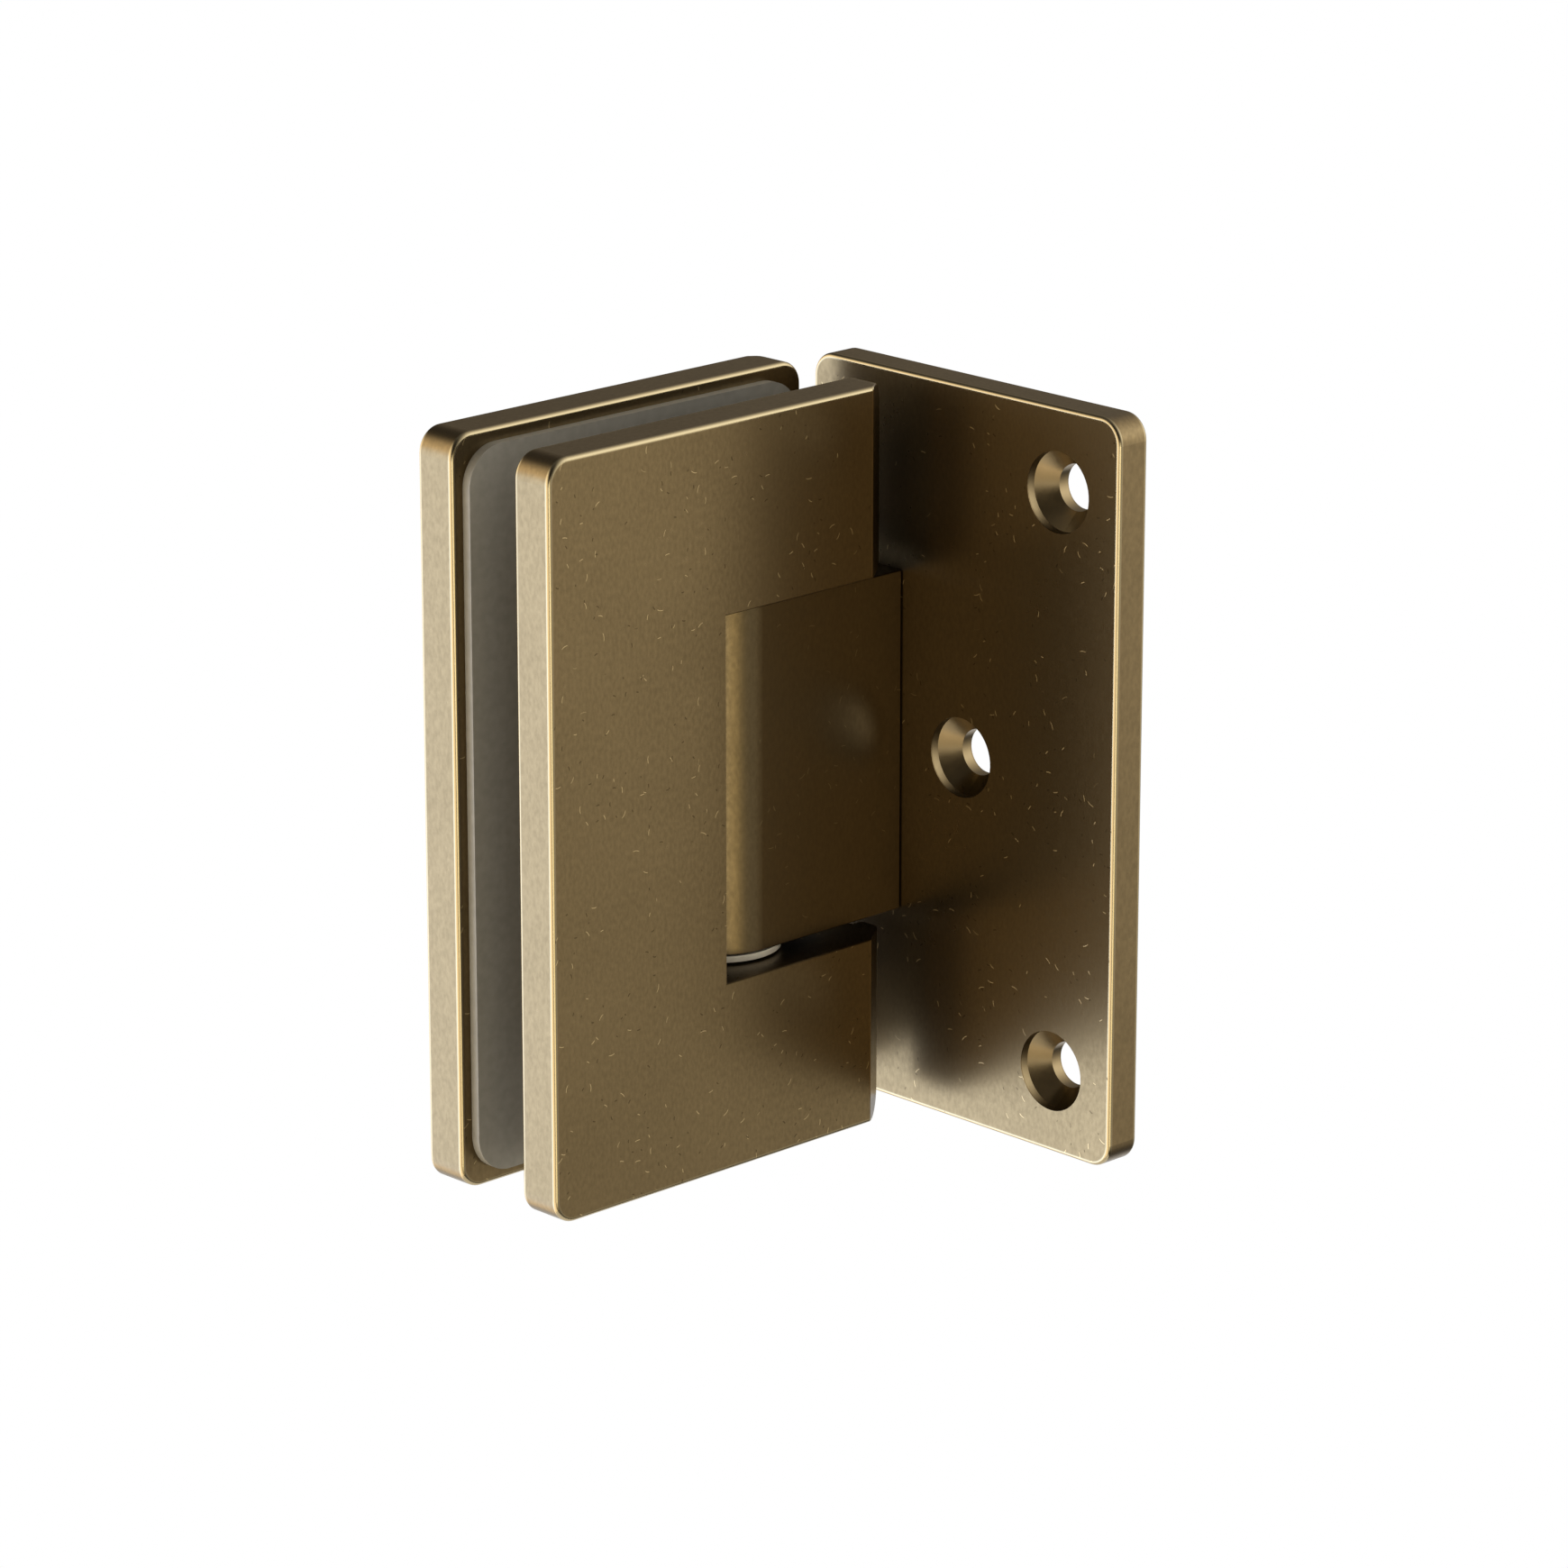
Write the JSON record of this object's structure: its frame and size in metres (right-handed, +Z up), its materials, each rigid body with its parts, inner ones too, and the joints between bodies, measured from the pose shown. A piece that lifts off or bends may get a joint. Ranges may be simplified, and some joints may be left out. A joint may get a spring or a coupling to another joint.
{
  "type": "glass door hinge",
  "caption": "Wall-to-glass shower door hinge: square clamp plates with gaskets grip the glass and swing on an upright pin in a block screwed to an offset wall plate.",
  "frame": {"origin": "middle of the wall plate's back, the face that meets the wall", "axes": "+X into the wall, +Y from the pictured face of the clamp to its hidden face, +Z up along the pivot pin"},
  "size_m": [0.0635, 0.0529, 0.09],
  "materials": {
    "bronzed_brass": "aged bronze, fine brushed",
    "screw_steel": "bronze plated",
    "pin_steel": "ground",
    "bearing_plastic": "smooth",
    "gasket_rubber": "matt"
  },
  "bodies": {
    "wall_side": {"wall_plate": "bronzed_brass", "pivot_block": "bronzed_brass", "block_screw_upper": "screw_steel", "block_screw_lower": "screw_steel", "pivot_bush_upper": "bearing_plastic", "pivot_bush_lower": "bearing_plastic", "detent_spring_upper": "pin_steel", "detent_spring_lower": "pin_steel"},
    "upper_plunger": {"detent_plunger_upper": "pin_steel"},
    "lower_plunger": {"detent_plunger_lower": "pin_steel"},
    "door_side": {"front_plate": "bronzed_brass", "rear_plate": "bronzed_brass", "front_gasket": "gasket_rubber", "rear_gasket": "gasket_rubber", "pivot_pin": "pin_steel", "end_plug_upper": "screw_steel", "end_plug_lower": "screw_steel", "thrust_washer_upper": "bearing_plastic", "thrust_washer_lower": "bearing_plastic", "clamp_screw_upper_outer": "screw_steel", "clamp_screw_upper_inner": "screw_steel", "clamp_screw_lower_outer": "screw_steel", "clamp_screw_lower_inner": "screw_steel"}
  },
  "joints": [
    {"name": "door_swing", "type": "hinge", "parent": "wall_side", "child": "door_side", "pos_m": [-0.02745, 0.0173, 0], "axis": [0, 0, 1], "range_deg": [-90, 90]},
    {"name": "upper_plunger_slide", "type": "slide", "parent": "wall_side", "child": "upper_plunger", "axis": [1, 0, 0], "range_m": [0, 0.0005], "stiffness_N_per_m": 4000, "deforming": ["detent_spring_upper"]},
    {"name": "lower_plunger_slide", "type": "slide", "parent": "wall_side", "child": "lower_plunger", "axis": [1, 0, 0], "range_m": [0, 0.0005], "stiffness_N_per_m": 4000, "deforming": ["detent_spring_lower"]}
  ]
}
